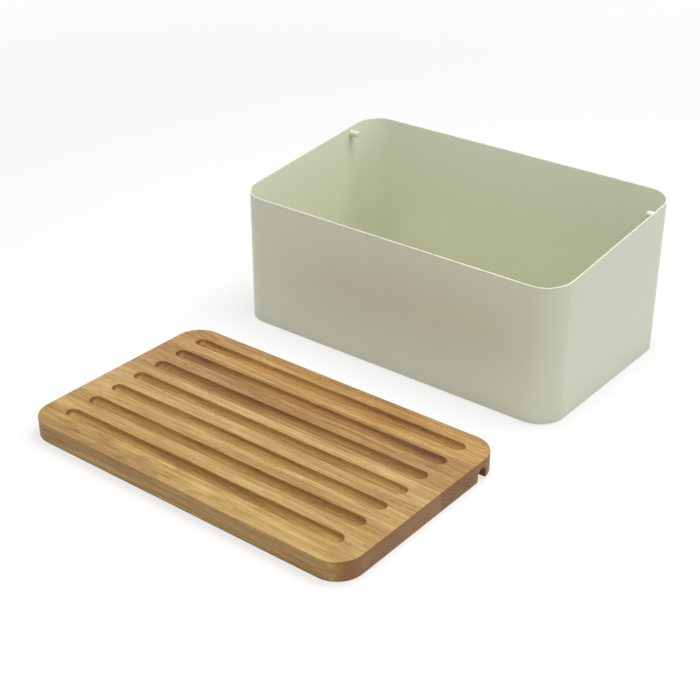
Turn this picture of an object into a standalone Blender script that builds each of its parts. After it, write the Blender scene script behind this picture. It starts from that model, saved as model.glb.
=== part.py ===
"""Bread box: a bent steel bin with a sloping rim, and a fluted oak lid that doubles as a bread board.

The lid is set out as it is used for slicing: flat on the worktop in front of the bin, flutes up.
Put back, it lies level between the side walls, its slot over two pegs and its front over the rim.
Metres, +Z up, +X to the right, +Y to the back. The origin is on the worktop, at the centre of the
rectangle that the bin and the set-down lid cover together.
"""

import math

import bmesh
import bpy
from mathutils import Matrix, Vector

# Bin: one bent and welded strip of steel, with a pan welded in as its floor
BIN_LENGTH = 0.360
BIN_DEPTH = 0.212
RIM_HEIGHT_FRONT = 0.134
BIN_CORNER_RADIUS = 0.027
SHEET = 0.0012
RIM_EASE = 0.0003
PAN_FLANGE = 0.010
PAN_BEND_RADIUS = 0.003
PAN_CLEARANCE = 0.0003

# Pads under the pan
PAD_RADIUS = 0.006
PAD_HEIGHT = 0.0012
PAD_EASE = 0.0004
PAD_INSET = 0.032

# Pegs that the lid hangs on, one on the inside of each side wall
PEG_RADIUS = 0.0033
PEG_REACH = 0.0096
PEG_SETBACK = 0.0362
PEG_TIP_EASE = 0.0006
PEG_CLEARANCE = 0.0003

# Lid
LID_THICKNESS = 0.0196
LID_SIDE_CLEARANCE = 0.0019
LID_BACK_CLEARANCE = 0.0055
LID_SEAT_CLEARANCE = 0.0003
LID_FRONT_OVERHANG = 0.0105
LID_BELOW_BACK_RIM = 0.0002
LID_CORNER_RADIUS = 0.0250
LID_EDGE_EASE = 0.0012
LID_SET_DOWN_GAP = 0.0701

# Flutes that catch the crumbs, counted from the front
FLUTE_COUNT = 7
FLUTE_WIDTH = 0.0130
FLUTE_DEPTH = 0.0050
FLUTE_PITCH = 0.0273
FLUTE_END_MARGIN = 0.0225
FLUTE_BACK_MARGIN = 0.0166

# Slot in the underside that takes the pegs
SLOT_WIDTH = 0.0120
SLOT_ROOF = 0.0070
SLOT_ROOF_CLEARANCE = 0.0003

# Staves: each glue line runs on the land behind the numbered flute, at a share of the land's width
GLUE_LINE = 0.0001
STAVE_LANDS = (1, 2, 4, 6)
STAVE_LAND_SHARES = (0.75, 0.65, 0.68, 0.22)
STAVE_NAMES = ("stave_front", "stave_second", "stave_middle", "stave_fourth", "stave_rear")

# How far a cutter runs past what it cuts
OVERRUN = 0.010

# Fineness of the round forms
CORNER_STEPS = 14
EASE_STEPS = 3
TURN_STEPS = 32
FLUTE_END_STEPS = 8

# The lid's place when it is on the bin, measured from the bin's centre and its underside
LID_LENGTH = BIN_LENGTH - 2 * (SHEET + LID_SIDE_CLEARANCE)
LID_BACK = BIN_DEPTH / 2 - SHEET - LID_BACK_CLEARANCE
LID_FRONT = -BIN_DEPTH / 2 - LID_FRONT_OVERHANG
LID_DEPTH = LID_BACK - LID_FRONT

# The set-out of bin and lid on the worktop
SET_OUT_DEPTH = BIN_DEPTH + LID_SET_DOWN_GAP + LID_DEPTH
BIN_PLACE = Vector((0, SET_OUT_DEPTH / 2 - BIN_DEPTH / 2, PAD_HEIGHT))
LID_PLACE = Vector((0, LID_DEPTH / 2 - SET_OUT_DEPTH / 2, 0))


def seat_setback():
    """How far behind the bin's front the lid's ends pass over the round corners of the rim."""
    inner_radius = BIN_CORNER_RADIUS - SHEET
    across = max(inner_radius - LID_SIDE_CLEARANCE, 0)
    return BIN_CORNER_RADIUS - math.sqrt(inner_radius**2 - across**2)


def rim_height(y):
    """Height of the sloping rim above the bin's underside, y from the bin's centre.

    It rises by so much that the back rim hides the level lid's edge.
    """
    above_seat = LID_SEAT_CLEARANCE + LID_THICKNESS + LID_BELOW_BACK_RIM
    slope = above_seat / (BIN_DEPTH - seat_setback())
    return RIM_HEIGHT_FRONT + slope * (y + BIN_DEPTH / 2)


def seat_height():
    """Underside of the closed lid: just above the rim where the lid's ends cross the front corners."""
    return rim_height(seat_setback() - BIN_DEPTH / 2) + LID_SEAT_CLEARANCE


def peg_axis():
    """A point on the pegs' common axis, from the bin's centre and underside: just under the slot's roof."""
    slot_depth = LID_THICKNESS - SLOT_ROOF
    top = seat_height() + slot_depth - SLOT_ROOF_CLEARANCE
    return Vector((0, BIN_DEPTH / 2 - PEG_SETBACK, top - PEG_RADIUS))


def lid_travel():
    """Shift that takes the lid, kept level, from the worktop to its seat on the bin."""
    closed = BIN_PLACE + Vector((0, (LID_BACK + LID_FRONT) / 2, seat_height()))
    return closed - LID_PLACE


def carry_axis():
    """A point on the axis about which the lid turns level on its way over the rim.

    The arc has the peg axis as its centre, and it ends going straight down onto the pegs.
    """
    travel = lid_travel()
    behind = (travel.z**2 - travel.y**2) / (2 * travel.y)
    return BIN_PLACE + peg_axis() + Vector((0, behind, -travel.z))


def outline(length, depth, radius):
    """Points of a rectangle with round corners, counter-clockwise about the origin."""
    points = []
    for corner in range(4):
        start = corner * math.pi / 2
        side_x = 1 if corner in (0, 3) else -1
        side_y = 1 if corner in (0, 1) else -1
        centre = Vector((side_x * (length / 2 - radius), side_y * (depth / 2 - radius), 0))
        for step in range(CORNER_STEPS + 1):
            angle = start + step / CORNER_STEPS * math.pi / 2
            points.append(centre + radius * Vector((math.cos(angle), math.sin(angle), 0)))
    return points


def ring(mesh, points):
    """Adds a closed loop of edges through the points and returns them."""
    corners = [mesh.verts.new(point) for point in points]
    return [mesh.edges.new((a, b)) for a, b in zip(corners, corners[1:] + corners[:1])]


def ease(mesh, edges, radius, steps):
    """Rounds the edges over."""
    bmesh.ops.bevel(
        mesh,
        geom=edges,
        offset=radius,
        offset_type="OFFSET",
        segments=steps,
        profile=0.5,
        affect="EDGES",
        material=-1,
    )


def level_edges(mesh, upper):
    """The edges round the upper, or the lower, face of an upright extrusion."""
    return [e for e in mesh.edges if all((v.co.z > 0) == upper for v in e.verts)]


def plate(length, depth, radius, thickness):
    """A mesh of a round-cornered plate standing on the local XY plane."""
    mesh = bmesh.new()
    mesh.faces.new([mesh.verts.new(point) for point in outline(length, depth, radius)])
    top = bmesh.ops.extrude_face_region(mesh, geom=mesh.faces[:])["geom"]
    raised = [v for v in top if isinstance(v, bmesh.types.BMVert)]
    bmesh.ops.translate(mesh, verts=raised, vec=(0, 0, thickness))
    bmesh.ops.recalc_face_normals(mesh, faces=mesh.faces[:])
    return mesh


def pin(radius, length, tip_ease):
    """A mesh of a round pin standing on the local XY plane, its free end rounded over."""
    mesh = bmesh.new()
    bmesh.ops.create_cone(
        mesh,
        cap_ends=True,
        segments=TURN_STEPS,
        radius1=radius,
        radius2=radius,
        depth=length,
        matrix=Matrix.Translation((0, 0, length / 2)),
    )
    tip = [e for e in mesh.edges if all(v.co.z > length / 2 for v in e.verts)]
    ease(mesh, tip, tip_ease, EASE_STEPS)
    return mesh


def material(name, colour, roughness, metallic):
    """One finish, as a Principled material."""
    finish = bpy.data.materials.new(name)
    finish.use_nodes = True
    shader = finish.node_tree.nodes["Principled BSDF"]
    shader.inputs["Base Color"].default_value = (*colour, 1)
    shader.inputs["Roughness"].default_value = roughness
    shader.inputs["Metallic"].default_value = metallic
    finish.diffuse_color = (*colour, 1)
    return finish


def piece(name, mesh, place, finish, parent=None):
    """Turns a bmesh into a named object, shaded smooth but for its corners."""
    data = bpy.data.meshes.new(name)
    mesh.to_mesh(data)
    mesh.free()
    data.shade_smooth()
    data.set_sharp_from_angle(angle=math.radians(35))
    data.materials.append(finish)
    made = bpy.data.objects.new(name, data)
    bpy.context.scene.collection.objects.link(made)
    made.location = place
    made.parent = parent
    return made


def cutter(name, mesh, group, place, parent):
    """Turns a bmesh into a hidden cutting shape in a collection."""
    data = bpy.data.meshes.new(name)
    mesh.to_mesh(data)
    mesh.free()
    made = bpy.data.objects.new(name, data)
    group.objects.link(made)
    made.location = place
    made.parent = parent
    made.hide_render = True
    made.display_type = "WIRE"
    return made


def axis_empty(name, place):
    """An empty on a joint's axis, which the moving pieces hang from."""
    made = bpy.data.objects.new(name, None)
    bpy.context.scene.collection.objects.link(made)
    made.location = place
    made.empty_display_size = PEG_REACH
    return made


def clear_scene():
    """Removes whatever the file opened with."""
    for old in list(bpy.data.objects):
        bpy.data.objects.remove(old, do_unlink=True)


def make_bin_wall(finish):
    """The bent strip: four walls with round corners and a rim that slopes down to the front."""
    mesh = bmesh.new()
    outer = ring(mesh, outline(BIN_LENGTH, BIN_DEPTH, BIN_CORNER_RADIUS))
    inner_radius = BIN_CORNER_RADIUS - SHEET
    inner = ring(mesh, outline(BIN_LENGTH - 2 * SHEET, BIN_DEPTH - 2 * SHEET, inner_radius))
    bmesh.ops.bridge_loops(mesh, edges=outer + inner)
    raised = bmesh.ops.extrude_face_region(mesh, geom=mesh.faces[:])["geom"]
    for corner in raised:
        if isinstance(corner, bmesh.types.BMVert):
            corner.co.z = rim_height(corner.co.y)
    bmesh.ops.recalc_face_normals(mesh, faces=mesh.faces[:])
    for upper in (True, False):
        around = [e for e in level_edges(mesh, upper) if follows_wall(e)]
        ease(mesh, around, RIM_EASE, EASE_STEPS - 1)
    return piece("bin_wall", mesh, BIN_PLACE, finish)


def follows_wall(edge):
    """Tells an edge that runs along the strip from one that crosses its thickness."""
    rises = {round(face.normal.z) for face in edge.link_faces}
    return len(rises) > 1


def make_base_pan(finish):
    """The floor: a shallow pan whose flange is welded to the inside of the wall."""
    drawn_in = SHEET + PAN_CLEARANCE
    radius = BIN_CORNER_RADIUS - drawn_in
    mesh = plate(BIN_LENGTH - 2 * drawn_in, BIN_DEPTH - 2 * drawn_in, radius, PAN_FLANGE)
    mouth = [f for f in mesh.faces if f.normal.z > 0.5]
    bmesh.ops.delete(mesh, geom=mouth, context="FACES_ONLY")
    ease(mesh, level_edges(mesh, False), PAN_BEND_RADIUS, EASE_STEPS + 1)
    made = piece("base_pan", mesh, BIN_PLACE, finish)
    thickness = made.modifiers.new("sheet", "SOLIDIFY")
    thickness.thickness = SHEET
    thickness.offset = -1
    thickness.use_even_offset = True
    return made


def make_pads(finish):
    """Four thin pads that keep the steel off the worktop, stuck under the pan."""
    for depth_name, side_y in (("front", -1), ("back", 1)):
        for side_name, side_x in (("left", -1), ("right", 1)):
            mesh = pin(PAD_RADIUS, PAD_HEIGHT, PAD_EASE)
            bmesh.ops.rotate(mesh, verts=mesh.verts[:], matrix=Matrix.Rotation(math.pi, 3, "X"))
            reach = Vector((BIN_LENGTH / 2 - PAD_INSET, BIN_DEPTH / 2 - PAD_INSET, 0))
            place = BIN_PLACE + Vector((side_x * reach.x, side_y * reach.y, 0))
            piece(f"pad_{depth_name}_{side_name}", mesh, place, finish)


def make_pegs(finish):
    """The two pegs, each with its origin on their common axis."""
    for side_name, side in (("left", -1), ("right", 1)):
        mesh = pin(PEG_RADIUS, PEG_REACH, PEG_TIP_EASE)
        inward = Matrix.Rotation(-side * math.pi / 2, 3, "Y")
        bmesh.ops.rotate(mesh, verts=mesh.verts[:], matrix=inward)
        foot = side * (BIN_LENGTH / 2 - SHEET - PEG_CLEARANCE)
        piece(f"{side_name}_peg", mesh, BIN_PLACE + peg_axis() + Vector((foot, 0, 0)), finish)


def flute_centres():
    """Distances of the flutes from the lid's centre, front to back."""
    last = LID_DEPTH / 2 - FLUTE_BACK_MARGIN - FLUTE_WIDTH / 2
    return [last - (FLUTE_COUNT - 1 - number) * FLUTE_PITCH for number in range(FLUTE_COUNT)]


def flute_shape():
    """A round-nosed bar lying along X, which ploughs one flute."""
    half_width = FLUTE_WIDTH / 2
    radius = (half_width**2 + FLUTE_DEPTH**2) / (2 * FLUTE_DEPTH)
    above = radius - FLUTE_DEPTH
    straight = LID_LENGTH / 2 - FLUTE_END_MARGIN - half_width
    mesh = bmesh.new()
    profile = []
    for end in (-1, 1):
        for step in range(FLUTE_END_STEPS + 1):
            turn = step if end < 0 else FLUTE_END_STEPS - step
            angle = turn / FLUTE_END_STEPS * math.pi / 2
            x = end * (straight + radius * math.cos(angle))
            profile.append(mesh.verts.new((x, 0, -radius * math.sin(angle))))
    edges = [mesh.edges.new(pair) for pair in zip(profile, profile[1:])]
    bmesh.ops.spin(
        mesh,
        geom=profile + edges,
        cent=(0, 0, 0),
        axis=(1, 0, 0),
        angle=2 * math.pi,
        steps=TURN_STEPS,
        use_merge=True,
    )
    bmesh.ops.remove_doubles(mesh, verts=mesh.verts[:], dist=GLUE_LINE / 2)
    bmesh.ops.recalc_face_normals(mesh, faces=mesh.faces[:])
    bmesh.ops.translate(mesh, verts=mesh.verts[:], vec=(0, 0, LID_THICKNESS + above))
    return mesh


def slot_shape():
    """A round-topped bar along the whole lid, which ploughs the slot for the pegs."""
    half = SLOT_WIDTH / 2
    spring = LID_THICKNESS - SLOT_ROOF - half
    mesh = bmesh.new()
    start = -LID_LENGTH / 2 - OVERRUN
    profile = [mesh.verts.new((start, -half, -OVERRUN)), mesh.verts.new((start, half, -OVERRUN))]
    for step in range(TURN_STEPS // 2 + 1):
        angle = step / (TURN_STEPS // 2) * math.pi
        y, z = half * math.cos(angle), spring + half * math.sin(angle)
        profile.append(mesh.verts.new((start, y, z)))
    mesh.faces.new(profile)
    far = bmesh.ops.extrude_face_region(mesh, geom=mesh.faces[:])["geom"]
    moved = [v for v in far if isinstance(v, bmesh.types.BMVert)]
    bmesh.ops.translate(mesh, verts=moved, vec=(-2 * start, 0, 0))
    bmesh.ops.recalc_face_normals(mesh, faces=mesh.faces[:])
    from_centre = BIN_DEPTH / 2 - PEG_SETBACK - (LID_BACK + LID_FRONT) / 2
    bmesh.ops.translate(mesh, verts=mesh.verts[:], vec=(0, from_centre, 0))
    return mesh


def stave_shape(front, back):
    """A block that keeps one stave of the lid, between two glue lines."""
    mesh = bmesh.new()
    size = Vector((LID_LENGTH + 2 * OVERRUN, back - front, LID_THICKNESS + 2 * OVERRUN))
    centre = Vector((0, (front + back) / 2, LID_THICKNESS / 2))
    bmesh.ops.create_cube(mesh, size=1, matrix=Matrix.LocRotScale(centre, None, size))
    return mesh


def glue_lines():
    """Distances of the lid's ends and of the glue lines from its centre, front to back."""
    centres = flute_centres()
    land = FLUTE_PITCH - FLUTE_WIDTH
    lines = [-LID_DEPTH / 2 - OVERRUN]
    for number, share in zip(STAVE_LANDS, STAVE_LAND_SHARES):
        lines.append(centres[number - 1] + FLUTE_WIDTH / 2 + share * land)
    return lines + [LID_DEPTH / 2 + OVERRUN]


def boolean(made, name, operation):
    """Adds an exact Boolean to a piece."""
    cut = made.modifiers.new(name, "BOOLEAN")
    cut.operation = operation
    cut.solver = "EXACT"
    return cut


def make_lid(finish):
    """The lid: edge-glued staves, planed together, eased all round, fluted above and slotted below."""
    axis = axis_empty("lid_carry_axis", carry_axis())
    place = LID_PLACE - carry_axis()
    blocks = bpy.data.collections.new("stave_blocks")
    ploughs = bpy.data.collections.new("ploughs")
    for group in (blocks, ploughs):
        bpy.context.scene.collection.children.link(group)
    for number, centre in enumerate(flute_centres(), 1):
        flute = cutter(f"plough_flute_{number}", flute_shape(), ploughs, place, axis)
        flute.location = place + Vector((0, centre, 0))
    cutter("plough_slot", slot_shape(), ploughs, place, axis)
    lines = glue_lines()
    for name, front, back in zip(STAVE_NAMES, lines, lines[1:]):
        blank = plate(LID_LENGTH, LID_DEPTH, LID_CORNER_RADIUS, LID_THICKNESS)
        rims = level_edges(blank, True) + level_edges(blank, False)
        ease(blank, rims, LID_EDGE_EASE, EASE_STEPS)
        stave = piece(name, blank, place, finish, axis)
        block = stave_shape(front + GLUE_LINE / 2, back - GLUE_LINE / 2)
        keep = boolean(stave, "stave", "INTERSECT")
        keep.object = cutter(f"block_{name}", block, blocks, place, axis)
        plough = boolean(stave, "ploughing", "DIFFERENCE")
        plough.operand_type = "COLLECTION"
        plough.collection = ploughs


def main():
    clear_scene()
    coat = material("sage_powder_coat", (0.55, 0.56, 0.45), 0.5, 0)
    oak = material("oiled_oak", (0.47, 0.29, 0.12), 0.55, 0)
    rubber = material("grey_rubber", (0.12, 0.12, 0.11), 0.8, 0)
    make_bin_wall(coat)
    make_base_pan(coat)
    make_pegs(coat)
    make_pads(rubber)
    make_lid(oak)
    bpy.context.view_layer.update()


main()
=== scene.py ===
"""Looks of the bread box: a powder-coated steel bin, and the fluted oak lid that doubles as a board."""

import math

import bmesh
import bpy
from mathutils import Matrix, Vector


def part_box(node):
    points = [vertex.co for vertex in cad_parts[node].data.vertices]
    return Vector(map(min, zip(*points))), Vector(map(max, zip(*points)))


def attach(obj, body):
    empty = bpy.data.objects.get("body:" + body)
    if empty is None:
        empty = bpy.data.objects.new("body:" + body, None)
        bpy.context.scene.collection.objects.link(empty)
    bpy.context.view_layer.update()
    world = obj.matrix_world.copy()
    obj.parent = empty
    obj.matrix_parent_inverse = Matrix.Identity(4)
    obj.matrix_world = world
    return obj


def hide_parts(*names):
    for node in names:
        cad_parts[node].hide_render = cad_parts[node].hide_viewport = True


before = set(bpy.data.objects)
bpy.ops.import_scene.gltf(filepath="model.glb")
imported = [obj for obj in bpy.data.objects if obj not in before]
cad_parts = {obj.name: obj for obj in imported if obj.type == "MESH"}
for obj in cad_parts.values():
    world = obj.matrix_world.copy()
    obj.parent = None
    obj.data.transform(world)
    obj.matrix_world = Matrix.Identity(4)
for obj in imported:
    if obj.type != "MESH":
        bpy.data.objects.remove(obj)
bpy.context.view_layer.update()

# Bin, in metres
BIN_CORNER_RADIUS = 0.027
SHEET = 0.0012
RIM_EASE = 0.0004
PAN_BEND_RADIUS = 0.003
PEG_TIP_EASE = 0.0009
PEG_WELD = 0.0008
PAD_HEIGHT = 0.0012
PAD_EASE = 0.0004

# Lid
LID_CORNER_RADIUS = 0.0250
LID_EDGE_EASE = 0.0011
LID_UNDER_EASE = 0.0020
LID_BACK_CLEARANCE = 0.0055
FLUTE_COUNT = 7
FLUTE_WIDTH = 0.0130
FLUTE_DEPTH = 0.0050
FLUTE_PITCH = 0.0273
FLUTE_END_MARGIN = 0.0225
FLUTE_BACK_MARGIN = 0.0166
FLUTE_FLOOR = 0.0004
FLUTE_LIP = 0.0006
SLOT_WIDTH = 0.0120
SLOT_ROOF = 0.0070
SLOT_LIP = 0.0010
OVERRUN = 0.010

# A lip ends this many degrees short of level, so that it meets the face in a clean edge
LIP_SLACK = 8

# Points this near to a plane count as on it
NEAR = 0.0001

# How many steps make a round form
CORNER_STEPS = 28
EASE_STEPS = 6
TURN_STEPS = 64
FLUTE_STEPS = 14
LIP_STEPS = 5

# Angles in degrees above which an edge is shaded sharp
SHARP_SHEET = 50
SHARP_TURNED = 35
SHARP_OAK = 25

# Camera and studio, in millimetres, metres and degrees
SENSOR = 36.0
LENS = 72.21
CAMERA_PLACE = (0.6945, -0.8953, 0.6613)
CAMERA_PITCH = 28.849
CAMERA_YAW = 38.298
WHITE = (1, 1, 1, 1)
WORLD_LIGHT = 0.46

# The floor keeps its shadows out to the first distance, and is pure white from the second on
FLOOR_SIZE = 24.0
FLOOR_TONE = (0.88, 0.88, 0.88, 1)
FLOOR_SHADED = 0.5
FLOOR_WHITE = 1.8
FLOOR_GLOW = 0.7

# Colours in linear light, where a tint multiplies the colour it lies on
SAGE_DARKER = (0.618, 0.638, 0.500, 1)
SAGE_PALER = (0.652, 0.668, 0.532, 1)
SAGE_SPECKLE_TINT = (0.965, 0.965, 0.955, 1)
# A paler coat along edges: painted highlight, and wear of the coat
SAGE_HIGHLIGHT_AND_WEAR = (0.78, 0.775, 0.61, 1)
RUBBER_DARKER = (0.075, 0.075, 0.070, 1)
RUBBER_PALER = (0.105, 0.104, 0.098, 1)
RUBBER_SPECKLE = (0.13, 0.13, 0.12, 1)
RUBBER_DUST = (0.24, 0.23, 0.21, 1)
PORE_TINT = (0.58, 0.46, 0.32, 1)
FLECK_TINT = (1.32, 1.36, 1.5, 1)
SIDE_TINT = (0.88, 0.82, 0.80, 1)
END_TINT = (0.555, 0.415, 0.29, 1)
# Painted shade inside the slot, partly the cutter's burnish
SLOT_SHADE_TINT = (0.50, 0.38, 0.26, 1)
# Painted highlight on the lid's eased edges, and wear from hands
EDGE_HIGHLIGHT_AND_WEAR_TINT = (1.16, 1.18, 1.22, 1)

# Skins: how broken a pale edge band is, how fine grit is beside the peel, and how far the painted
# highlight and wear reach
PATCH_GRAIN = (60, 60, 60)
GRIT_FINENESS = (2.6, 2.6, 2.6)
RIM_HIGHLIGHT_AND_WEAR = 0.0011
FLANGE_HIGHLIGHT_AND_WEAR = 0.0009
PEG_HIGHLIGHT_AND_WEAR = 0.0010
COAT_IOR = 1.55
OIL_IOR = 1.46

# Oak figure: features per metre along the grain, across it and through the board
WAVE_GRAIN = (9, 26, 26)
RIPPLE_GRAIN = (14, 110, 110)
EARLY_GRAIN = (5, 60, 60)
BROAD_GRAIN = (6, 46, 46)
RIBBON_GRAIN = (12, 250, 250)
STREAK_GRAIN = (22, 1150, 1150)
PORE_GRAIN = (120, 1700, 1700)
CROWD_GRAIN = (16, 90, 90)
FLECK_GRAIN = (80, 760, 300)
FLECK_FIELD_GRAIN = (9, 14, 14)

# How far the rings stray in metres, how the flecks turn, and how strong the other marks are
WAVE_REACH = 0.016
RIPPLE_REACH = 0.0085
FLECK_TURN = math.radians(62)
PORE_STRENGTH = 0.75
END_PLAINNESS = 0.7
# The share of the flutes' painted shade and burnish that reaches their floors
FLUTE_FLOOR_SHADE_AND_BURNISH = 0.70

# A darker place in oak is also a redder one: powers of the tone for red, green and blue
REDDENING = (0.85, 1.15, 1.6)

# Each stave's tone and flute tint, and where it was sawn from the tree
# A stave's flute tint is painted shade in the flutes, partly the cutter's burnish
OAK = {
    "stave_front": {
        "tone": (0.460, 0.293, 0.090),
        "flute_shade_and_burnish": (0.70, 0.60, 0.22, 1),
        "pith": (0.02, -0.232, -0.050),
        "lean": 0.075,
        "ring_width": 0.0031,
        "flecks": 0.25,
    },
    "stave_second": {
        "tone": (0.440, 0.267, 0.084),
        "flute_shade_and_burnish": (0.72, 0.60, 0.23, 1),
        "pith": (0.00, -0.120, -0.045),
        "lean": 0.02,
        "ring_width": 0.0026,
        "flecks": 0.25,
    },
    "stave_middle": {
        "tone": (0.478, 0.306, 0.107),
        "flute_shade_and_burnish": (0.70, 0.60, 0.24, 1),
        "pith": (0.00, -0.330, -0.090),
        "lean": 0.02,
        "ring_width": 0.0036,
        "flecks": 0.45,
    },
    "stave_fourth": {
        "tone": (0.385, 0.222, 0.074),
        "flute_shade_and_burnish": (0.68, 0.52, 0.18, 1),
        "pith": (0.00, -0.200, -0.140),
        "lean": 0.03,
        "ring_width": 0.0030,
        "flecks": 0.20,
    },
    "stave_rear": {
        "tone": (0.442, 0.258, 0.083),
        "flute_shade_and_burnish": (0.72, 0.58, 0.18, 1),
        "pith": (0.00, 0.035, -0.060),
        "lean": 0.02,
        "ring_width": 0.0028,
        "flecks": 0.60,
    },
}
STAVES = tuple(OAK)
FIGURE_SHIFT = (0.37, 0.91, 0.53)


# Shaping


def square(length, depth):
    """A mesh of one upward face, centred on the origin."""
    mesh = bmesh.new()
    size = Matrix.Diagonal((length, depth, 1, 1))
    bmesh.ops.create_grid(mesh, x_segments=1, y_segments=1, size=0.5, matrix=size)
    return mesh


def rounded(length, depth, radius):
    """A mesh of one upward face with round corners, centred on the origin."""
    mesh = square(length, depth)
    bmesh.ops.bevel(
        mesh,
        geom=mesh.verts[:],
        offset=radius,
        offset_type="OFFSET",
        segments=CORNER_STEPS,
        profile=0.5,
        affect="VERTICES",
        material=-1,
    )
    return mesh


def ease(mesh, edges, radius, steps=EASE_STEPS):
    """Rounds the edges over."""
    bmesh.ops.bevel(
        mesh,
        geom=edges,
        offset=radius,
        offset_type="OFFSET",
        segments=steps,
        profile=0.5,
        affect="EDGES",
        material=-1,
    )


def raise_faces(mesh, vector):
    """Extrudes all faces of an open sheet along a vector, into a closed body."""
    moved = bmesh.ops.extrude_face_region(mesh, geom=mesh.faces[:])["geom"]
    corners = [v for v in moved if isinstance(v, bmesh.types.BMVert)]
    bmesh.ops.translate(mesh, verts=corners, vec=vector)
    bmesh.ops.recalc_face_normals(mesh, faces=mesh.faces[:])
    return corners


def turned(profile, axis):
    """A closed body turned from a profile of (reach, height) points about an axis through the origin."""
    mesh = bmesh.new()
    side = Vector(axis).orthogonal().normalized()
    points = [mesh.verts.new(side * reach + Vector(axis) * height) for reach, height in profile]
    edges = [mesh.edges.new(pair) for pair in zip(points, points[1:])]
    bmesh.ops.spin(
        mesh,
        geom=points + edges,
        cent=(0, 0, 0),
        axis=axis,
        angle=2 * math.pi,
        steps=TURN_STEPS,
        use_merge=True,
    )
    bmesh.ops.remove_doubles(mesh, verts=mesh.verts[:], dist=NEAR / 10)
    bmesh.ops.recalc_face_normals(mesh, faces=mesh.faces[:])
    return mesh


def arc(centre, radius, start, end, steps):
    """Points of an arc in a plane, by angles in degrees."""
    angles = [math.radians(start + (end - start) * step / steps) for step in range(steps + 1)]
    return [(centre[0] + radius * math.cos(a), centre[1] + radius * math.sin(a)) for a in angles]


def bare_object(name, mesh):
    """Turns a bmesh into an object at the origin."""
    data = bpy.data.meshes.new(name)
    mesh.to_mesh(data)
    mesh.free()
    made = bpy.data.objects.new(name, data)
    bpy.context.scene.collection.objects.link(made)
    return made


def finished(made, finish, body, node, sharp):
    """Shades a piece, gives it its finish, and lets it stand for its CAD node."""
    made.data.shade_smooth()
    made.data.set_sharp_from_angle(angle=math.radians(sharp))
    made.data.materials.clear()
    made.data.materials.append(finish)
    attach(made, body)
    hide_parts(node)
    return made


def centre_of(node):
    """The middle of a CAD node's box, at its lowest level, and the box's size."""
    low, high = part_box(node)
    low, high = Vector(low), Vector(high)
    middle = (low + high) / 2
    return Vector((middle.x, middle.y, low.z)), high - low


# Node helpers


def feed(tree, socket, value):
    """Links a socket to another, or gives it a plain value."""
    if isinstance(value, bpy.types.NodeSocket):
        tree.links.new(value, socket)
    else:
        socket.default_value = value


def node(tree, kind, inputs, **settings):
    """Adds one shader node with its settings and its inputs, by name or number."""
    made = tree.nodes.new(kind)
    for name, value in settings.items():
        setattr(made, name, value)
    for key, value in inputs.items():
        feed(tree, made.inputs[key], value)
    return made


def maths(tree, operation, first, second=0.0):
    """The result of a Math node."""
    return node(tree, "ShaderNodeMath", {0: first, 1: second}, operation=operation).outputs[0]


def times(tree, first, second):
    """The product of two values."""
    return maths(tree, "MULTIPLY", first, second)


def vectors(tree, operation, first, second):
    """The outputs of a Vector Math node."""
    return node(tree, "ShaderNodeVectorMath", {0: first, 1: second}, operation=operation).outputs


def split(tree, vector):
    """The three parts of a vector."""
    return node(tree, "ShaderNodeSeparateXYZ", {0: vector}).outputs


def joined(tree, parts):
    """A vector of three values."""
    return node(tree, "ShaderNodeCombineXYZ", dict(enumerate(parts))).outputs[0]


def noise(tree, vector, stretch, detail=2.0, roughness=0.5):
    """Noise with so many features per metre along each axis."""
    stretched = vectors(tree, "MULTIPLY", vector, stretch)[0]
    inputs = {"Vector": stretched, "Scale": 1.0, "Detail": detail, "Roughness": roughness}
    return node(tree, "ShaderNodeTexNoise", inputs).outputs["Fac"]


def span(tree, value, low, high, to_low=0.0, to_high=1.0):
    """A value eased from one range into another, and held at its ends."""
    inputs = {"Value": value, "From Min": low, "From Max": high, "To Min": to_low, "To Max": to_high}
    made = node(tree, "ShaderNodeMapRange", inputs, interpolation_type="SMOOTHSTEP", clamp=True)
    return made.outputs["Result"]


def blended(tree, mode, factor, first, second):
    """Two colours brought together by a Mix node, whose colour sockets have these numbers."""
    inputs = {0: factor, 6: first, 7: second}
    return node(tree, "ShaderNodeMix", inputs, data_type="RGBA", blend_type=mode).outputs[2]


def mixed(tree, factor, first, second):
    """The first colour, going over into the second."""
    return blended(tree, "MIX", factor, first, second)


def tinted(tree, factor, colour, tint):
    """A colour multiplied by a tint, as far as the factor says."""
    return blended(tree, "MULTIPLY", factor, colour, tint)


def bump(tree, shader, height, strength, distance):
    """Raises a surface a little by a height map."""
    inputs = {"Height": height, "Strength": strength, "Distance": distance}
    feed(tree, shader["Normal"], node(tree, "ShaderNodeBump", inputs).outputs[0])


def seen_directly(tree):
    """1 for rays of the camera, also by way of a mirror or through glass, and 0 for light."""
    path = tree.nodes.new("ShaderNodeLightPath").outputs
    seen = maths(tree, "MAXIMUM", path["Is Camera Ray"], path["Is Glossy Ray"])
    return maths(tree, "MAXIMUM", seen, path["Is Transmission Ray"])


def node_group(name, inputs, outputs):
    """An empty shader group with its sockets, and its two ends."""
    tree = bpy.data.node_groups.new(name, "ShaderNodeTree")
    for label, kind, value in inputs:
        socket = tree.interface.new_socket(label, in_out="INPUT", socket_type=f"NodeSocket{kind}")
        socket.default_value = value
    for label, kind in outputs:
        tree.interface.new_socket(label, in_out="OUTPUT", socket_type=f"NodeSocket{kind}")
    taken = tree.nodes.new("NodeGroupInput").outputs
    given = tree.nodes.new("NodeGroupOutput").inputs
    return tree, taken, given


def use_group(tree, group, inputs):
    """Places a group in a material with its own values."""
    made = tree.nodes.new("ShaderNodeGroup")
    made.node_tree = group
    for name, value in inputs.items():
        feed(tree, made.inputs[name], value)
    return made.outputs


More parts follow.
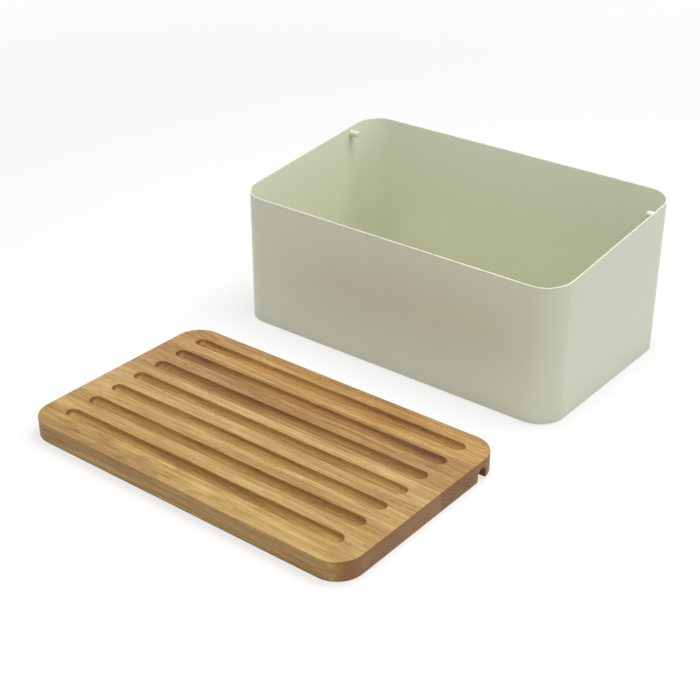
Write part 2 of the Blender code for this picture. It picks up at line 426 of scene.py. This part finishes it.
def new_material(name):
    """A material with its node tree, its Principled shader and its object coordinates."""
    finish = bpy.data.materials.new(name)
    finish.use_nodes = True
    tree = finish.node_tree
    shader = tree.nodes["Principled BSDF"].inputs
    place = tree.nodes.new("ShaderNodeTexCoord").outputs
    return finish, tree, shader, place


# Groups that several finishes share


def sprayed_skin_group():
    """Fine orange peel and faint clouds, as on sprayed or moulded skins."""
    inputs = [("Vector", "Vector", (0, 0, 0)), ("Peel", "Float", 1500.0), ("Cloud", "Float", 14.0)]
    outputs = [("Cloud", "Float"), ("Speckle", "Float"), ("Height", "Float")]
    tree, taken, given = node_group("sprayed_skin", inputs, outputs)
    cloud_size = joined(tree, [taken["Cloud"]] * 3)
    peel_size = joined(tree, [taken["Peel"]] * 3)
    grit_size = vectors(tree, "MULTIPLY", peel_size, GRIT_FINENESS)[0]
    grit = noise(tree, taken["Vector"], grit_size)
    feed(tree, given["Cloud"], noise(tree, taken["Vector"], cloud_size, 3.0))
    feed(tree, given["Speckle"], span(tree, grit, 0.35, 0.65))
    feed(tree, given["Height"], noise(tree, taken["Vector"], peel_size, 1.0))
    return tree


def edge_wear_and_highlight_group():
    """A broken mask along a plane: wear where an edge is handled or set down, and painted highlight
    along an edge.
    """
    inputs = [
        ("Vector", "Vector", (0, 0, 0)),
        ("Plane", "Vector", (0, 0, 1)),
        ("Distance", "Float", 0.0),
        ("Width", "Float", 0.001),
    ]
    tree, taken, given = node_group("edge_wear_and_highlight", inputs, [("Mask", "Float")])
    height = vectors(tree, "DOT_PRODUCT", taken["Vector"], taken["Plane"])["Value"]
    away = maths(tree, "ABSOLUTE", maths(tree, "SUBTRACT", height, taken["Distance"]))
    near = span(tree, maths(tree, "DIVIDE", away, taken["Width"]), 0.3, 1.0, 1.0, 0.0)
    patches = span(tree, noise(tree, taken["Vector"], PATCH_GRAIN, 4.0, 0.6), 0.3, 0.62, 0.35, 1.0)
    feed(tree, given["Mask"], times(tree, near, patches))
    return tree


def oak_figure_group():
    """Plain-sawn oak: growth rings about a pith that lies off the stave, streaks, pores and flecks."""
    inputs = [
        ("Vector", "Vector", (0, 0, 0)),
        ("Facing", "Vector", (0, 0, 1)),
        ("Tone", "Color", (0.5, 0.3, 0.1, 1)),
        ("Pith", "Vector", (0, 0, 0)),
        ("Lean", "Float", 0.0),
        ("Ring Width", "Float", 0.003),
        ("Shift", "Vector", (0, 0, 0)),
        ("Flecks", "Float", 0.5),
    ]
    outputs = [("Color", "Color"), ("Roughness", "Float"), ("Height", "Float")]
    tree, taken, given = node_group("oak_figure", inputs, outputs)
    place = vectors(tree, "ADD", taken["Vector"], taken["Shift"])[0]

    # Growth rings, wavy cylinders about the leaning pith
    axes = split(tree, vectors(tree, "SUBTRACT", taken["Vector"], taken["Pith"])[0])
    wave = maths(tree, "SUBTRACT", noise(tree, place, WAVE_GRAIN), 0.5)
    across = maths(tree, "ADD", axes[1], times(tree, wave, WAVE_REACH))
    below = maths(tree, "ADD", axes[2], times(tree, axes[0], taken["Lean"]))
    squares = maths(tree, "ADD", times(tree, across, across), times(tree, below, below))
    ripple = times(tree, noise(tree, place, RIPPLE_GRAIN, 4.0, 0.6), RIPPLE_REACH)
    radius = maths(tree, "ADD", maths(tree, "SQRT", squares), ripple)
    ring = maths(tree, "FRACT", maths(tree, "DIVIDE", radius, taken["Ring Width"]))
    opening = span(tree, ring, 0.0, 0.16)
    closing = span(tree, ring, 0.16, 0.8, 1.0, 0.0)
    patches = span(tree, noise(tree, place, EARLY_GRAIN, 1.0), 0.35, 0.6, 0.25, 1.0)
    early = times(tree, times(tree, opening, closing), patches)

    # Tone: broad bands, ring tone, ribbons and streaks
    broad = span(tree, noise(tree, place, BROAD_GRAIN, 3.0, 0.6), 0.3, 0.7, 0.79, 1.15)
    banded = span(tree, early, 0.0, 1.0, 1.03, 0.90)
    ribbon = span(tree, noise(tree, place, RIBBON_GRAIN, 4.0, 0.65), 0.34, 0.66, 0.79, 1.12)
    streak = noise(tree, place, STREAK_GRAIN, 3.0, 0.6)
    streaked = span(tree, streak, 0.32, 0.68, 0.86, 1.10)
    value = times(tree, times(tree, broad, banded), times(tree, ribbon, streaked))
    shade = joined(tree, [maths(tree, "POWER", value, power) for power in REDDENING])
    colour = tinted(tree, 1.0, taken["Tone"], shade)

    # Pores, crowded in the early wood and in fields of their own
    field = span(tree, noise(tree, place, CROWD_GRAIN, 3.0, 0.6), 0.50, 0.66)
    crowd = span(tree, maths(tree, "MAXIMUM", early, field), 0.0, 1.0, 0.25, 1.0)
    pores = times(tree, span(tree, noise(tree, place, PORE_GRAIN), 0.52, 0.66), crowd)
    colour = tinted(tree, times(tree, pores, PORE_STRENGTH), colour, PORE_TINT)

    # Pale ray flecks that cross the grain
    mapping = {"Vector": place, "Rotation": (0, 0, FLECK_TURN)}
    turned_place = node(tree, "ShaderNodeMapping", mapping).outputs[0]
    fleck = span(tree, noise(tree, turned_place, FLECK_GRAIN), 0.58, 0.68)
    fleck_field = span(tree, noise(tree, place, FLECK_FIELD_GRAIN, 1.0), 0.42, 0.58)
    flecks = times(tree, times(tree, fleck, fleck_field), taken["Flecks"])
    colour = tinted(tree, flecks, colour, FLECK_TINT)

    # The long edges are a little darker
    facing = split(tree, taken["Facing"])
    sides = span(tree, maths(tree, "ABSOLUTE", facing[1]), 0.5, 1.0)
    colour = tinted(tree, sides, colour, SIDE_TINT)

    # End grain drinks more oil, so it is darker and shows fewer streaks
    ends = span(tree, maths(tree, "ABSOLUTE", facing[0]), 0.35, 0.9)
    end_colour = tinted(tree, 1.0, mixed(tree, END_PLAINNESS, colour, taken["Tone"]), END_TINT)
    feed(tree, given["Color"], mixed(tree, ends, colour, end_colour))
    open_grain = maths(tree, "ADD", early, pores)
    feed(tree, given["Roughness"], span(tree, open_grain, 0.0, 1.6, 0.46, 0.66))
    height = maths(tree, "SUBTRACT", times(tree, streak, 0.4), times(tree, pores, 0.8))
    feed(tree, given["Height"], height)
    return tree


SPRAYED_SKIN = sprayed_skin_group()
EDGE_WEAR_AND_HIGHLIGHT = edge_wear_and_highlight_group()
OAK_FIGURE = oak_figure_group()


def edge_wear_and_highlight_mask(tree, place, plane, distance, width):
    """How strong the band of wear and painted highlight is, by its distance from a plane."""
    edge = {"Vector": place["Object"], "Plane": plane, "Distance": distance, "Width": width}
    return use_group(tree, EDGE_WEAR_AND_HIGHLIGHT, edge)["Mask"]


# Finishes


def powder_coat(name, plane, distance, width):
    """Matt sage powder coat on steel, a little paler along one edge plane: painted highlight, and wear
    of the coat there.
    """
    finish, tree, shader, place = new_material(name)
    skin = use_group(tree, SPRAYED_SKIN, {"Vector": place["Object"], "Peel": 1400.0, "Cloud": 11.0})
    # The pale band along the edge is painted highlight and wear
    highlight_and_wear = edge_wear_and_highlight_mask(tree, place, plane, distance, width)
    clouded = mixed(tree, skin["Cloud"], SAGE_DARKER, SAGE_PALER)
    speckled = tinted(tree, times(tree, skin["Speckle"], 0.5), clouded, SAGE_SPECKLE_TINT)
    highlighted_and_worn = mixed(tree, times(tree, highlight_and_wear, 0.65), speckled, SAGE_HIGHLIGHT_AND_WEAR)
    feed(tree, shader["Base Color"], highlighted_and_worn)
    feed(tree, shader["Roughness"], span(tree, skin["Cloud"], 0.3, 0.7, 0.36, 0.46))
    bump(tree, shader, skin["Height"], 0.35, 0.00012)
    shader["IOR"].default_value = COAT_IOR
    return finish


def oiled_oak(name, shift, tone, flute_shade_and_burnish, pith, lean, ring_width, flecks):
    """One oak stave, sawn from its own place in the tree."""
    finish, tree, shader, place = new_material(name)
    values = {
        "Vector": place["Object"],
        "Facing": place["Normal"],
        "Tone": (*tone, 1),
        "Pith": pith,
        "Lean": lean,
        "Ring Width": ring_width,
        "Shift": shift,
        "Flecks": flecks,
    }
    figure = use_group(tree, OAK_FIGURE, values)

    # The flutes are darker: painted shade in the hollows, partly the cutter's burnish
    facing = split(tree, place["Normal"])
    axes = split(tree, place["Object"])
    tilt = facing[2]
    sunk = span(tree, axes[2], LID_TOP - 3 * FLUTE_LIP, LID_TOP - FLUTE_LIP / 2, 1.0, 0.0)
    steep = span(tree, tilt, 0.55, 0.99, 1.0, FLUTE_FLOOR_SHADE_AND_BURNISH)
    steep = times(tree, span(tree, tilt, 0.08, 0.2), steep)
    wood = tinted(tree, times(tree, sunk, steep), figure["Color"], flute_shade_and_burnish)

    # The slot's inside is darker: painted shade, partly the cutter's burnish
    from_slot = maths(tree, "ABSOLUTE", maths(tree, "SUBTRACT", axes[1], slot_place()))
    within = maths(tree, "LESS_THAN", from_slot, SLOT_WIDTH / 2 + NEAR)
    below_roof = maths(tree, "LESS_THAN", axes[2], LID_SIZE.z - SLOT_ROOF + NEAR)
    side_on = maths(tree, "LESS_THAN", maths(tree, "ABSOLUTE", facing[0]), 0.5)
    inside = times(tree, times(tree, within, below_roof), side_on)
    wood = tinted(tree, inside, wood, SLOT_SHADE_TINT)

    # The eased edges are a little paler: painted highlight, and wear where hands reach
    leaning = times(tree, span(tree, tilt, 0.2, 0.5), span(tree, tilt, 0.8, 0.97, 1.0, 0.0))
    highlight_and_wear = edge_wear_and_highlight_mask(tree, place, (0, 0, 1), LID_TOP, 2 * LID_EDGE_EASE)
    edge_highlight_and_wear = times(tree, highlight_and_wear, leaning)
    feed(tree, shader["Base Color"], tinted(tree, edge_highlight_and_wear, wood, EDGE_HIGHLIGHT_AND_WEAR_TINT))
    feed(tree, shader["Roughness"], figure["Roughness"])
    bump(tree, shader, figure["Height"], 0.5, 0.0002)
    shader["IOR"].default_value = OIL_IOR
    return finish


def grey_rubber():
    """Moulded grey rubber, dusty where it meets the worktop."""
    finish, tree, shader, place = new_material("grey_rubber")
    skin = use_group(tree, SPRAYED_SKIN, {"Vector": place["Object"], "Peel": 2600.0, "Cloud": 60.0})
    dusty = edge_wear_and_highlight_mask(tree, place, (0, 0, 1), 0.0, PAD_HEIGHT / 2)
    clouded = mixed(tree, skin["Cloud"], RUBBER_DARKER, RUBBER_PALER)
    speckled = mixed(tree, times(tree, skin["Speckle"], 0.3), clouded, RUBBER_SPECKLE)
    feed(tree, shader["Base Color"], mixed(tree, times(tree, dusty, 0.5), speckled, RUBBER_DUST))
    feed(tree, shader["Roughness"], span(tree, skin["Cloud"], 0.3, 0.7, 0.72, 0.85))
    bump(tree, shader, skin["Height"], 0.4, 0.00008)
    return finish


# The bin


def rim_plane():
    """The rim's rise per metre towards the back, and its height at y = 0, from the CAD wall."""
    corners = [v.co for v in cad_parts["bin_wall"].data.vertices]
    front = min(c.y for c in corners)
    back = max(c.y for c in corners)
    front_height = max(c.z for c in corners if c.y < front + SHEET)
    back_height = max(c.z for c in corners if c.y > back - SHEET)
    slope = (back_height - front_height) / (back - front)
    return slope, front_height - slope * front


def make_bin_wall():
    """The bent strip: four walls, round corners and a rim that slopes to the front."""
    place, size = centre_of("bin_wall")
    slope, level = rim_plane()
    mesh = rounded(size.x, size.y, BIN_CORNER_RADIUS)
    bmesh.ops.inset_region(
        mesh,
        faces=mesh.faces[:],
        thickness=SHEET,
        use_even_offset=True,
        use_boundary=True,
    )
    inside = max(mesh.faces, key=lambda face: face.calc_area())
    bmesh.ops.delete(mesh, geom=[inside], context="FACES_ONLY")
    bmesh.ops.translate(mesh, verts=mesh.verts[:], vec=place)
    for corner in raise_faces(mesh, (0, 0, size.z)):
        corner.co.z = level + slope * corner.co.y
    rims = [e for e in mesh.edges if len({round(f.normal.z) for f in e.link_faces}) > 1]
    ease(mesh, rims, RIM_EASE, EASE_STEPS // 2)
    plane = Vector((0, -slope, 1))
    coat = powder_coat("sage_powder_coat_wall", tuple(plane), level, RIM_HIGHLIGHT_AND_WEAR)
    made = bare_object("bin_wall_sheet", mesh)
    return finished(made, coat, "bin", "bin_wall", SHARP_SHEET)


def make_base_pan():
    """The floor: a shallow pan with a soft bend up to its flange."""
    place, size = centre_of("base_pan")
    corner_radius = BIN_CORNER_RADIUS - SHEET
    mesh = rounded(size.x, size.y, corner_radius)
    raise_faces(mesh, (0, 0, size.z))
    mouth = [f for f in mesh.faces if f.normal.z > 0.5]
    bmesh.ops.delete(mesh, geom=mouth, context="FACES_ONLY")
    bottom = [e for e in mesh.edges if all(v.co.z < size.z / 2 for v in e.verts)]
    ease(mesh, bottom, PAN_BEND_RADIUS)
    bmesh.ops.translate(mesh, verts=mesh.verts[:], vec=place)
    made = bare_object("base_pan_sheet", mesh)
    sheet = made.modifiers.new("sheet", "SOLIDIFY")
    sheet.thickness = SHEET
    sheet.offset = -1
    sheet.use_even_offset = True
    coat = powder_coat("sage_powder_coat_pan", (0, 0, 1), place.z + size.z, FLANGE_HIGHLIGHT_AND_WEAR)
    return finished(made, coat, "bin", "base_pan", SHARP_SHEET)


def make_peg(side_name, side):
    """A round peg with a rounded tip and the weld's small fillet at the wall."""
    low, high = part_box(f"{side_name}_peg")
    low, high = Vector(low), Vector(high)
    middle = (low + high) / 2
    radius = (high.z - low.z) / 2
    reach = high.x - low.x
    weld = arc((radius + PEG_WELD, PEG_WELD), PEG_WELD, 270, 180, EASE_STEPS)
    tip = arc((radius - PEG_TIP_EASE, reach - PEG_TIP_EASE), PEG_TIP_EASE, 0, 90, EASE_STEPS)
    mesh = turned([(0, 0)] + weld + tip + [(0, reach)], (-side, 0, 0))
    foot = Vector((high.x if side > 0 else low.x, middle.y, middle.z))
    bmesh.ops.translate(mesh, verts=mesh.verts[:], vec=foot)
    end = reach - side * foot.x
    coat = powder_coat(f"sage_powder_coat_{side_name}_peg", (-side, 0, 0), end, PEG_HIGHLIGHT_AND_WEAR)
    made = bare_object(f"{side_name}_peg_pin", mesh)
    return finished(made, coat, "pegs", f"{side_name}_peg", SHARP_TURNED)


def make_pad(name, rubber):
    """A thin stick-on pad with an eased lower edge."""
    place, size = centre_of(name)
    radius = size.x / 2
    edge = arc((radius - PAD_EASE, PAD_EASE), PAD_EASE, 270, 360, EASE_STEPS)
    mesh = turned([(0, 0)] + edge + [(radius, size.z), (0, size.z)], (0, 0, 1))
    bmesh.ops.translate(mesh, verts=mesh.verts[:], vec=place)
    made = bare_object(f"{name}_disc", mesh)
    return finished(made, rubber, "bin", name, SHARP_TURNED)


# The lid


def lid_box():
    """Lowest and highest corner of the five staves together."""
    boxes = [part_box(name) for name in STAVES]
    low = Vector([min(box[0][axis] for box in boxes) for axis in range(3)])
    high = Vector([max(box[1][axis] for box in boxes) for axis in range(3)])
    return low, high


LID_LOW, LID_HIGH = lid_box()
LID_SIZE = LID_HIGH - LID_LOW
LID_CENTRE = (LID_LOW + LID_HIGH) / 2
LID_TOP = LID_HIGH.z


def slot_place():
    """The slot's centre line in the shared frame: where the pegs are when the lid is shut."""
    pegs_low, pegs_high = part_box("left_peg")
    inner_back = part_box("bin_wall")[1][1] - SHEET
    return LID_HIGH.y + LID_BACK_CLEARANCE - inner_back + (pegs_low[1] + pegs_high[1]) / 2


def lid_blank():
    """The whole lid before it is ploughed, eased all round."""
    mesh = rounded(LID_SIZE.x, LID_SIZE.y, LID_CORNER_RADIUS)
    raise_faces(mesh, (0, 0, LID_SIZE.z))
    for height, radius in ((0, LID_UNDER_EASE), (LID_SIZE.z, LID_EDGE_EASE)):
        level = [e for e in mesh.edges if all(abs(v.co.z - height) < NEAR for v in e.verts)]
        ease(mesh, level, radius)
    bmesh.ops.translate(mesh, verts=mesh.verts[:], vec=(LID_CENTRE.x, LID_CENTRE.y, LID_LOW.z))
    return mesh


def flute_profile():
    """Half of a flute's section, as (reach, height) from its floor to past the lid's face.

    The round floor runs into a small round lip, so the edge is soft to the hand.
    """
    half = FLUTE_WIDTH / 2
    radius = (half**2 + FLUTE_DEPTH**2) / (2 * FLUTE_DEPTH)
    above = radius - FLUTE_DEPTH
    start = math.degrees(math.asin(FLUTE_FLOOR / radius))
    lip_reach = math.sqrt((radius + FLUTE_LIP) ** 2 - (above + FLUTE_LIP) ** 2)
    meet = math.degrees(math.atan2(above + FLUTE_LIP, lip_reach))
    floor = arc((0, above), radius, start - 90, -meet, FLUTE_STEPS)
    lip = arc((lip_reach, -FLUTE_LIP), FLUTE_LIP, 180 - meet, 90 + LIP_SLACK, LIP_STEPS)
    end_reach, end_height = lip[-1]
    clear = FLUTE_LIP / 8
    out = end_reach + clear / math.tan(math.radians(LIP_SLACK))
    return floor + lip[1:] + [(out, end_height + clear), (out, OVERRUN / 2)]


def flute_cutter():
    """A stadium-shaped plough for one flute, grown ring by ring from its narrow floor."""
    profile = flute_profile()
    straight = LID_SIZE.x / 2 - FLUTE_END_MARGIN - FLUTE_WIDTH / 2
    mesh = bmesh.new()
    reach, height = profile[0]
    turn = Matrix.Rotation(math.pi / TURN_STEPS, 4, "Z")
    bmesh.ops.create_circle(mesh, cap_ends=True, segments=TURN_STEPS, radius=reach, matrix=turn)
    for corner in mesh.verts:
        corner.co = Vector((corner.co.x + math.copysign(straight, corner.co.x), corner.co.y, height))
    edges = mesh.edges[:]
    for next_reach, next_height in profile[1:]:
        grown = bmesh.ops.extrude_edge_only(mesh, edges=edges)["geom"]
        corners = [v for v in grown if isinstance(v, bmesh.types.BMVert)]
        for corner in corners:
            end = math.copysign(straight, corner.co.x)
            growth = next_reach / reach
            corner.co = Vector((end + (corner.co.x - end) * growth, corner.co.y * growth, next_height))
        new = set(corners)
        edges = [e for e in mesh.edges if e.verts[0] in new and e.verts[1] in new]
        reach = next_reach
    bmesh.ops.contextual_create(mesh, geom=edges)
    bmesh.ops.recalc_face_normals(mesh, faces=mesh.faces[:])
    return mesh


def slot_cutter():
    """A round-topped bar along the whole lid, with a flared mouth."""
    half = SLOT_WIDTH / 2
    spring = LID_SIZE.z - SLOT_ROOF - half
    mouth = arc((-half - SLOT_LIP, SLOT_LIP), SLOT_LIP, 270 + LIP_SLACK, 360, LIP_STEPS)
    roof = arc((0, spring), half, 180, 0, TURN_STEPS // 2)
    other = [(-reach, height) for reach, height in reversed(mouth)]
    flare = mouth[0][0] - SLOT_LIP
    section = [(flare, -SLOT_LIP / 6), *mouth, *roof, *other, (-flare, -SLOT_LIP / 6)]
    section = [(flare, -OVERRUN), *section, (-flare, -OVERRUN)]
    mesh = bmesh.new()
    start = -LID_SIZE.x / 2 - OVERRUN
    mesh.faces.new([mesh.verts.new((start, across, height)) for across, height in section])
    raise_faces(mesh, (-2 * start, 0, 0))
    return mesh


def stave_block(name):
    """A block that keeps one stave of the lid."""
    low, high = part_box(name)
    low, high = Vector(low), Vector(high)
    spare = Vector((OVERRUN, 0, OVERRUN))
    if name == STAVES[0]:
        low.y -= OVERRUN
    if name == STAVES[-1]:
        high.y += OVERRUN
    size = high - low + 2 * spare
    mesh = bmesh.new()
    bmesh.ops.create_cube(mesh, size=1, matrix=Matrix.LocRotScale((low + high) / 2, None, size))
    return mesh


def ploughed(made, operation, cutter):
    """Applies one exact Boolean to an object's mesh."""
    cut = made.modifiers.new("cut", "BOOLEAN")
    cut.operation = operation
    cut.solver = "EXACT"
    cut.object = cutter
    cut_object = made.evaluated_get(bpy.context.evaluated_depsgraph_get())
    result = bpy.data.meshes.new_from_object(cut_object)
    made.modifiers.clear()
    old = made.data
    made.data = result
    bpy.data.meshes.remove(old)


def flute_places():
    """The flutes' centre lines in the shared frame, front to back."""
    last = LID_HIGH.y - FLUTE_BACK_MARGIN - FLUTE_WIDTH / 2
    return [last - (FLUTE_COUNT - 1 - number) * FLUTE_PITCH for number in range(FLUTE_COUNT)]


def lid_cutters():
    """The ploughs for all flutes and for the slot, each with its place across the lid."""
    cutters = []
    for number, across in enumerate(flute_places(), 1):
        mesh = flute_cutter()
        bmesh.ops.translate(mesh, verts=mesh.verts[:], vec=(LID_CENTRE.x, across, LID_TOP))
        cutters.append((across, bare_object(f"plough_{number}", mesh)))
    across = slot_place()
    mesh = slot_cutter()
    bmesh.ops.translate(mesh, verts=mesh.verts[:], vec=(LID_CENTRE.x, across, LID_LOW.z))
    cutters.append((across, bare_object("plough_slot", mesh)))
    return cutters


def make_lid():
    """Five edge-glued staves, ploughed with seven flutes and the slot."""
    cutters = lid_cutters()
    for number, name in enumerate(STAVES):
        made = bare_object(f"{name}_oak", lid_blank())
        block = bare_object("block", stave_block(name))
        ploughed(made, "INTERSECT", block)
        bpy.data.objects.remove(block, do_unlink=True)
        low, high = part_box(name)
        for across, cutter in cutters:
            if low[1] < across < high[1]:
                ploughed(made, "DIFFERENCE", cutter)
        shift = tuple(number * step for step in FIGURE_SHIFT)
        oak = oiled_oak(f"oiled_oak_{name}", shift, **OAK[name])
        finished(made, oak, "lid", name, SHARP_OAK)
    for _, cutter in cutters:
        bpy.data.objects.remove(cutter, do_unlink=True)


# Studio


def make_floor():
    """A plain white floor that keeps the object's soft shadow, and is pure white far away."""
    mesh = square(FLOOR_SIZE, FLOOR_SIZE)
    floor = bare_object("studio_floor", mesh)
    finish = bpy.data.materials.new("studio_white")
    finish.use_nodes = True
    tree = finish.node_tree
    shader = tree.nodes["Principled BSDF"]
    shader.inputs["Base Color"].default_value = FLOOR_TONE
    shader.inputs["Roughness"].default_value = 1.0
    shader.inputs["Specular IOR Level"].default_value = 0.0
    glow = node(tree, "ShaderNodeEmission", {"Color": WHITE, "Strength": 1.0}).outputs[0]
    place = tree.nodes.new("ShaderNodeTexCoord").outputs["Object"]
    away = node(tree, "ShaderNodeVectorMath", {0: place}, operation="LENGTH").outputs["Value"]
    share = span(tree, away, FLOOR_SHADED, FLOOR_WHITE, FLOOR_GLOW, 1.0)
    share = times(tree, seen_directly(tree), share)
    mixture = node(tree, "ShaderNodeMixShader", {0: share, 1: shader.outputs[0], 2: glow})
    feed(tree, tree.nodes["Material Output"].inputs["Surface"], mixture.outputs[0])
    floor.data.materials.append(finish)


def make_world():
    """Even soft light, seen as plain white."""
    world = bpy.data.worlds.new("studio_air")
    bpy.context.scene.world = world
    world.use_nodes = True
    tree = world.node_tree
    strength = span(tree, seen_directly(tree), 0.0, 1.0, WORLD_LIGHT, 1.0)
    back = tree.nodes["Background"]
    back.inputs["Color"].default_value = WHITE
    feed(tree, back.inputs["Strength"], strength)


def make_lamp(name, place, aim, size, power):
    """A square soft box aimed at a point."""
    light = bpy.data.lights.new(name, "AREA")
    light.size = size
    light.energy = power
    lamp = bpy.data.objects.new(name, light)
    bpy.context.scene.collection.objects.link(lamp)
    lamp.location = place
    lamp.rotation_euler = (Vector(aim) - Vector(place)).to_track_quat("-Z", "Y").to_euler()


def make_camera():
    """The photograph's viewing angle."""
    view = bpy.data.cameras.new("camera")
    view.sensor_width = SENSOR
    view.lens = LENS
    camera = bpy.data.objects.new("camera", view)
    bpy.context.scene.collection.objects.link(camera)
    camera.location = CAMERA_PLACE
    camera.rotation_euler = (math.radians(90 - CAMERA_PITCH), 0, math.radians(CAMERA_YAW))
    bpy.context.scene.camera = camera


bpy.context.scene.view_settings.view_transform = "Standard"
make_camera()
make_world()
make_floor()
make_lamp("soft_box_above", (0.08, 0.13, 1.15), (0.08, 0.13, 0.05), 0.45, 7.5)
make_lamp("soft_box_behind", (0.80, 0.75, 1.7), (0, 0, 0.05), 0.9, 12.5)
make_lamp("soft_box_front", (-0.30, -1.60, 1.8), (0, 0, 0.05), 1.1, 6.0)
make_bin_wall()
make_base_pan()
for side_name, side in (("left", -1), ("right", 1)):
    make_peg(side_name, side)
rubber = grey_rubber()
for pad in ("pad_front_left", "pad_front_right", "pad_back_left", "pad_back_right"):
    make_pad(pad, rubber)
make_lid()
